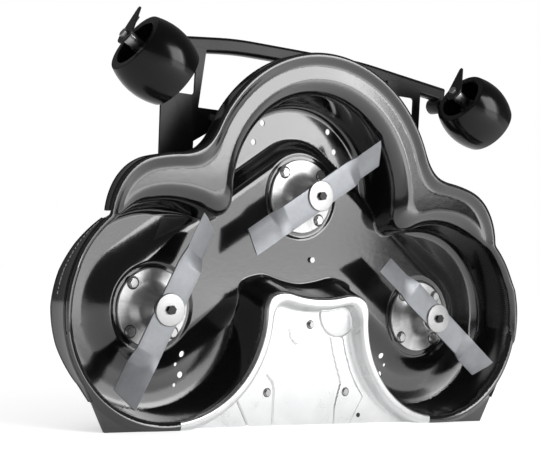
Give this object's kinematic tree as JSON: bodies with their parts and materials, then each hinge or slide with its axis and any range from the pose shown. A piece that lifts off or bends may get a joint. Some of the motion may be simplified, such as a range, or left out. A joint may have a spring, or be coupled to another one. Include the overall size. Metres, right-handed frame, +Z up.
{
  "type": "lawn mower deck",
  "caption": "Pressed mower deck stood on its rear edge, with twisted blades on flanged spindles, a belt drive behind, a bright rear baffle and barrel caster wheels on a front bar.",
  "frame": {"origin": "middle of the deck's rear edge, in the plane of the rim, where it meets the floor", "axes": "+X across the deck to the right of the picture, +Y from the open underside to the belt side, +Z up from the rear edge to the front bar"},
  "size_m": [1.3278, 0.3305, 0.9175],
  "materials": {
    "shell_paint": "gloss black paint",
    "bracket_paint": "satin black paint",
    "galvanised": "bright galvanised sheet",
    "housing_alloy": "machined and cast alloy",
    "bearing_steel": "ground steel",
    "shaft_steel": "turned steel",
    "spacer_black": "black oxide",
    "blade_steel": "satin blue grey steel",
    "washer_zinc": "zinc plate",
    "pulley_paint": "satin black",
    "idler_steel": "pressed steel",
    "belt_rubber": "matt rubber",
    "spring_steel": "drawn wire",
    "wheel_plastic": "moulded satin black",
    "axle_zinc": "zinc plate",
    "fastener_zinc": "zinc plate"
  },
  "bodies": {
    "deck": {"deck_shell": "shell_paint", "rear_baffle": "galvanised", "baffle_bolts": "fastener_zinc", "plateau_screw": "fastener_zinc", "housing_bolts": "fastener_zinc", "left_spindle_housing": "housing_alloy", "centre_spindle_housing": "housing_alloy", "right_spindle_housing": "housing_alloy", "left_spindle_bearings": "bearing_steel", "centre_spindle_bearings": "bearing_steel", "right_spindle_bearings": "bearing_steel", "drive_belt": "belt_rubber", "idler_pivot": "fastener_zinc", "spring_anchor": "fastener_zinc", "tension_spring": "spring_steel", "front_bar": "bracket_paint", "tie_bolts": "fastener_zinc", "left_bar_plate": "bracket_paint", "right_bar_plate": "bracket_paint", "left_tie_plate": "bracket_paint", "right_tie_plate": "bracket_paint", "left_rear_hanger": "bracket_paint", "right_rear_hanger": "bracket_paint"},
    "left_blade_set": {"left_spindle_shaft": "shaft_steel", "left_spindle_spacer": "spacer_black", "left_blade": "blade_steel", "left_blade_washer": "washer_zinc", "left_blade_bolt": "fastener_zinc", "left_pulley": "pulley_paint", "left_pulley_nut": "fastener_zinc"},
    "centre_blade_set": {"centre_spindle_shaft": "shaft_steel", "centre_spindle_spacer": "spacer_black", "centre_blade": "blade_steel", "centre_blade_washer": "washer_zinc", "centre_blade_bolt": "fastener_zinc", "centre_pulley": "pulley_paint", "centre_pulley_nut": "fastener_zinc"},
    "right_blade_set": {"right_spindle_shaft": "shaft_steel", "right_spindle_spacer": "spacer_black", "right_blade": "blade_steel", "right_blade_washer": "washer_zinc", "right_blade_bolt": "fastener_zinc", "right_pulley": "pulley_paint", "right_pulley_nut": "fastener_zinc"},
    "idler_lever": {"idler_arm": "bracket_paint"},
    "idler_wheel": {"idler_pulley": "idler_steel"},
    "left_caster": {"left_caster_yoke": "bracket_paint", "left_caster_axle": "axle_zinc", "left_caster_spacers": "axle_zinc", "left_lock_plate": "bracket_paint"},
    "left_wheel": {"left_caster_wheel": "wheel_plastic"},
    "right_caster": {"right_caster_yoke": "bracket_paint", "right_caster_axle": "axle_zinc", "right_caster_spacers": "axle_zinc", "right_lock_plate": "bracket_paint"},
    "right_wheel": {"right_caster_wheel": "wheel_plastic"}
  },
  "joints": [
    {"name": "centre_spindle_turn", "type": "hinge", "parent": "deck", "child": "centre_blade_set", "pos_m": [0, 0.1, 0.55], "axis": [0, 1, 0], "continuous": true},
    {"name": "left_spindle_turn", "type": "hinge", "parent": "deck", "child": "left_blade_set", "pos_m": [-0.4, 0.1, 0.265], "axis": [0, 1, 0], "continuous": true},
    {"name": "right_spindle_turn", "type": "hinge", "parent": "deck", "child": "right_blade_set", "pos_m": [0.4, 0.1, 0.265], "axis": [0, 1, 0], "continuous": true},
    {"name": "idler_swing", "type": "hinge", "parent": "deck", "child": "idler_lever", "pos_m": [-0.18999, 0.15, 0.51826], "axis": [0, 1, 0], "range_deg": [0, 15], "stiffness_Nm_per_rad": 25, "springref_deg": -20.05, "deforming": ["tension_spring"]},
    {"name": "idler_turn", "type": "hinge", "parent": "idler_lever", "child": "idler_wheel", "pos_m": [-0.2812, 0.15, 0.45327], "axis": [0, 1, 0], "continuous": true},
    {"name": "left_caster_swivel", "type": "hinge", "parent": "deck", "child": "left_caster", "pos_m": [-0.476, 0.15, 0.836], "axis": [0, 1, 0], "continuous": true},
    {"name": "left_wheel_turn", "type": "hinge", "parent": "left_caster", "child": "left_wheel", "pos_m": [-0.4966, -0.016, 0.80171], "axis": [0.8572, 0, -0.515], "continuous": true},
    {"name": "right_caster_swivel", "type": "hinge", "parent": "deck", "child": "right_caster", "pos_m": [0.476, 0.15, 0.836], "axis": [0, 1, 0], "continuous": true},
    {"name": "right_wheel_turn", "type": "hinge", "parent": "right_caster", "child": "right_wheel", "pos_m": [0.4554, -0.016, 0.80171], "axis": [0.8572, 0, -0.515], "continuous": true}
  ],
  "couplings": [
    {"joint": "left_spindle_turn", "follows": "centre_spindle_turn", "ratio": 1},
    {"joint": "right_spindle_turn", "follows": "centre_spindle_turn", "ratio": 1},
    {"joint": "idler_turn", "follows": "centre_spindle_turn", "ratio": -1.6993}
  ]
}
